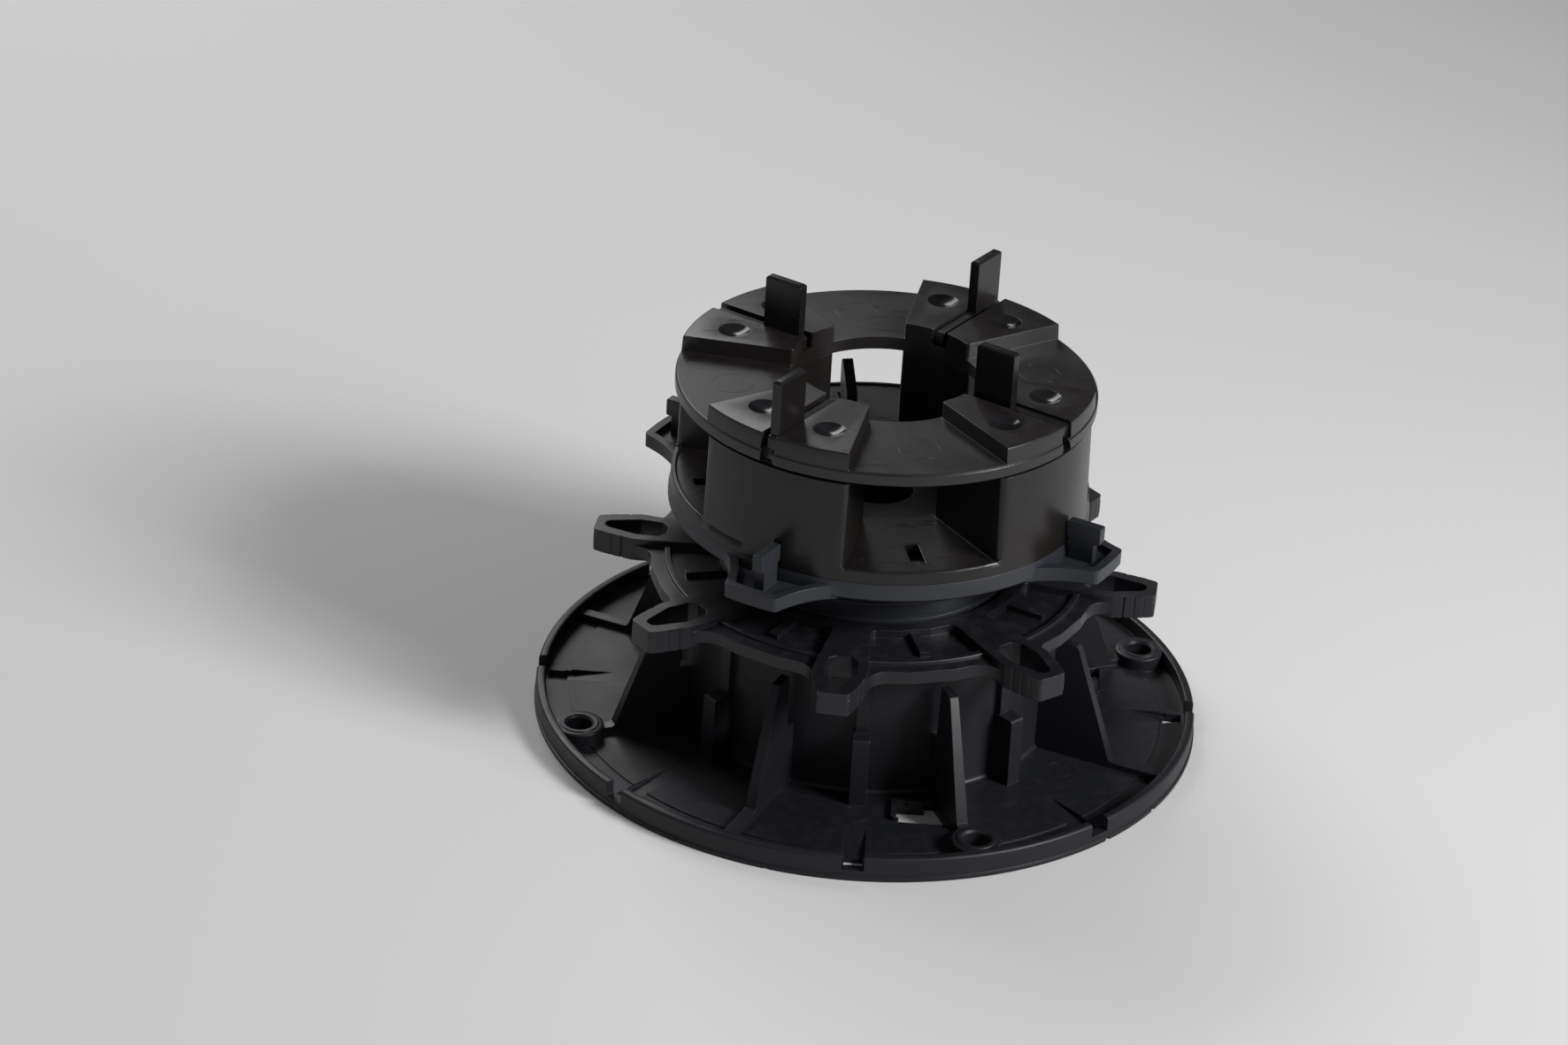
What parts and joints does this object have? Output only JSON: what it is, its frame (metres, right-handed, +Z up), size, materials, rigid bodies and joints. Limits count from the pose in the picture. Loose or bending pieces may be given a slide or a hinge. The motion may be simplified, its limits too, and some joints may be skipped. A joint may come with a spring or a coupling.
{
  "type": "adjustable paving pedestal",
  "caption": "Screw-adjustable plastic pedestal for a raised floor: finned base, lugged ring, winged threaded stem, windowed drum and slotted head plate with spacer tabs.",
  "frame": {"origin": "centre of the base flange's underside, on the axis of the thread", "axes": "+Z up along the thread's axis, towards the head plate; -Y towards the viewer"},
  "size_m": [0.2, 0.2, 0.131],
  "materials": {
    "base_plastic": "blue-black moulded polypropylene, satin, lightly dusted",
    "ring_plastic": "blue-black moulded polypropylene, satin, lightly dusted",
    "stem_plastic": "dark blue-grey moulded polypropylene, matte",
    "drum_plastic": "warm black moulded polypropylene, satin, scuffed",
    "plate_plastic": "warm black moulded polypropylene, satin, scuffed and dusty",
    "tab_plastic": "warm black moulded polypropylene, satin"
  },
  "bodies": {
    "base": {"base_plate": "base_plastic"},
    "ring": {"adjusting_ring": "ring_plastic"},
    "head": {"screw_head": "stem_plastic", "riser_drum": "drum_plastic", "head_plate": "plate_plastic", "spacer_tab_1": "tab_plastic", "spacer_tab_2": "tab_plastic", "spacer_tab_3": "tab_plastic", "spacer_tab_4": "tab_plastic"}
  },
  "joints": [
    {"name": "ring_turn", "type": "hinge", "parent": "base", "child": "ring", "pos_m": [0, 0, 0.048], "axis": [0, 0, 1], "range_deg": [-1200, 1020]},
    {"name": "head_lift", "type": "slide", "parent": "base", "child": "head", "axis": [0, 0, 1], "range_m": [-0.01705, 0.02005]}
  ],
  "couplings": [
    {"joint": "head_lift", "follows": "ring_turn", "m_per_rad": -0.00095493}
  ]
}
